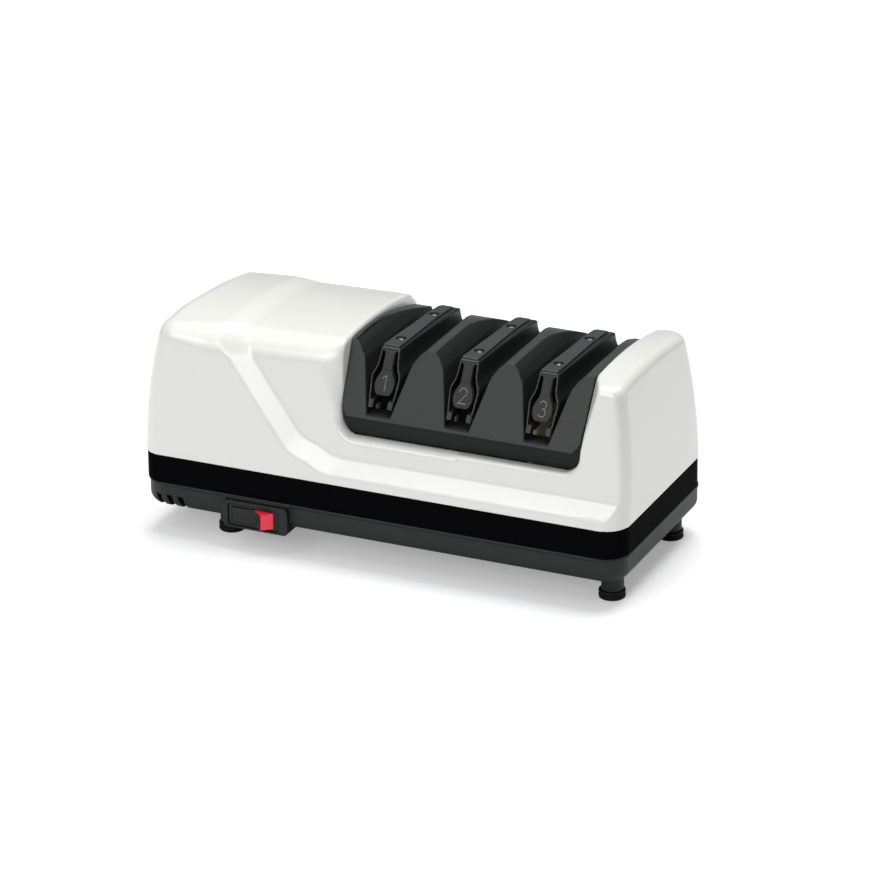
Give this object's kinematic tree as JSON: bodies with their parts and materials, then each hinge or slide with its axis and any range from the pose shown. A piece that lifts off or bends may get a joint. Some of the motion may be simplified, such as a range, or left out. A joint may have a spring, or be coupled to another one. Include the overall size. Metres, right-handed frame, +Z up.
{
  "type": "electric knife sharpener",
  "caption": "Countertop electric knife sharpener with guided blade slots over spring-loaded honing and stropping disks, a rocker switch, rubber feet and a clean-out hatch.",
  "frame": {"origin": "bottom centre of the whole object: on the table, midway between the ends and between the switch's tip and the cord gland's face", "axes": "+X to the right seen from the front, along the shaft; -Y to the front, where the switch and the numbered guides are; +Z up"},
  "size_m": [0.254, 0.1186, 0.1104],
  "materials": {
    "cover_white": "glossy white moulding with a faint pearl",
    "band_black": "polished black",
    "tray_grey": "fine matt grain",
    "guide_charcoal": "smooth satin charcoal",
    "guide_spring_black": "satin",
    "foot_rubber": "soft matt",
    "switch_black": "satin",
    "rocker_black": "two-colour rocker, black face and red flank",
    "lever_plastic": "satin",
    "screw_steel": "zinc plated",
    "shaft_steel": "ground",
    "hone_coating": "fine abrasive coating",
    "strop_disk": "cream abrasive-filled flexible disk",
    "dressing_stone": "gritty stone",
    "bush_bronze": "sintered bronze",
    "brass": "bright",
    "lamination": "stacked laminations",
    "rotor_iron": "laminated core with cast ends",
    "coil_wire": "enamelled copper winding",
    "bobbin_nylon": "natural nylon",
    "bracket_alloy": "die cast",
    "magnet_dark": "ferrite"
  },
  "bodies": {
    "housing": {"base_tray": "tray_grey", "trim_band": "band_black", "top_cover": "cover_white", "guide_insert": "guide_charcoal", "guide_bridge_1": "guide_charcoal", "guide_spring_1": "guide_spring_black", "guide_clamp_1": "guide_charcoal", "guide_bridge_2": "guide_charcoal", "guide_spring_2": "guide_spring_black", "guide_clamp_2": "guide_charcoal", "guide_bridge_3": "guide_charcoal", "guide_spring_3": "guide_spring_black", "guide_clamp_3": "guide_charcoal", "clamp_screws": "screw_steel", "foot_left_front": "foot_rubber", "foot_left_rear": "foot_rubber", "foot_right_front": "foot_rubber", "foot_right_rear": "foot_rubber", "switch_body": "switch_black", "switch_terminals": "brass", "cord_gland": "switch_black", "motor_stack": "lamination", "motor_coil": "coil_wire", "coil_bobbin": "bobbin_nylon", "motor_bracket_left": "bracket_alloy", "motor_bracket_right": "bracket_alloy", "bush_left": "bush_bronze", "bush_middle": "bush_bronze", "bush_end": "bush_bronze", "motor_bolts": "screw_steel", "motor_pads": "foot_rubber", "end_bracket": "bracket_alloy", "bracket_screws": "screw_steel", "housing_screws": "screw_steel", "hatch_pin": "screw_steel", "lever_pin": "screw_steel", "lever_bezel": "switch_black"},
    "spindle": {"drive_shaft": "shaft_steel", "motor_rotor": "rotor_iron", "cooling_fan": "bobbin_nylon", "drive_pins": "screw_steel", "disk_spring_1": "shaft_steel", "disk_spring_2": "shaft_steel", "disk_spring_3": "shaft_steel"},
    "rocker": {"switch_rocker": "rocker_black"},
    "hatch": {"cleanout_hatch": "tray_grey", "filings_magnet": "magnet_dark"},
    "lever": {"dressing_lever": "lever_plastic", "dressing_pad": "dressing_stone"},
    "disk_1_left": {"disk_1_left": "hone_coating"},
    "disk_1_right": {"disk_1_right": "hone_coating"},
    "disk_2_left": {"disk_2_left": "hone_coating"},
    "disk_2_right": {"disk_2_right": "hone_coating"},
    "disk_3_left": {"disk_3_left": "strop_disk"},
    "disk_3_right": {"disk_3_right": "strop_disk"}
  },
  "joints": [
    {"name": "spindle_spin", "type": "hinge", "parent": "housing", "child": "spindle", "pos_m": [0, -0.0143, 0.06], "axis": [1, 0, 0], "continuous": true},
    {"name": "rocker_tilt", "type": "hinge", "parent": "housing", "child": "rocker", "pos_m": [-0.0645, -0.0543, 0.0176], "axis": [0, 0, 1], "range_deg": [0, 24]},
    {"name": "hatch_swing", "type": "hinge", "parent": "housing", "child": "hatch", "pos_m": [0.042, 0.0049, 0.011], "axis": [1, 0, 0], "range_deg": [0, 80]},
    {"name": "lever_swing", "type": "hinge", "parent": "housing", "child": "lever", "pos_m": [0.0799, 0.0377, 0.0339], "axis": [0, 0, 1], "range_deg": [-10, 10]},
    {"name": "disk_1_left_slide", "type": "slide", "parent": "spindle", "child": "disk_1_left", "axis": [1, 0, 0], "range_m": [0, 0.0012], "stiffness_N_per_m": 1500, "springref_m": -0.002, "deforming": ["disk_spring_1"]},
    {"name": "disk_1_right_slide", "type": "slide", "parent": "spindle", "child": "disk_1_right", "axis": [-1, 0, 0], "range_m": [0, 0.0012], "stiffness_N_per_m": 1500, "springref_m": -0.002},
    {"name": "disk_2_left_slide", "type": "slide", "parent": "spindle", "child": "disk_2_left", "axis": [1, 0, 0], "range_m": [0, 0.0012], "stiffness_N_per_m": 1500, "springref_m": -0.002, "deforming": ["disk_spring_2"]},
    {"name": "disk_2_right_slide", "type": "slide", "parent": "spindle", "child": "disk_2_right", "axis": [-1, 0, 0], "range_m": [0, 0.0012], "stiffness_N_per_m": 1500, "springref_m": -0.002},
    {"name": "disk_3_left_slide", "type": "slide", "parent": "spindle", "child": "disk_3_left", "axis": [1, 0, 0], "range_m": [0, 0.0012], "stiffness_N_per_m": 1500, "springref_m": -0.002, "deforming": ["disk_spring_3"]},
    {"name": "disk_3_right_slide", "type": "slide", "parent": "spindle", "child": "disk_3_right", "axis": [-1, 0, 0], "range_m": [0, 0.0012], "stiffness_N_per_m": 1500, "springref_m": -0.002}
  ]
}
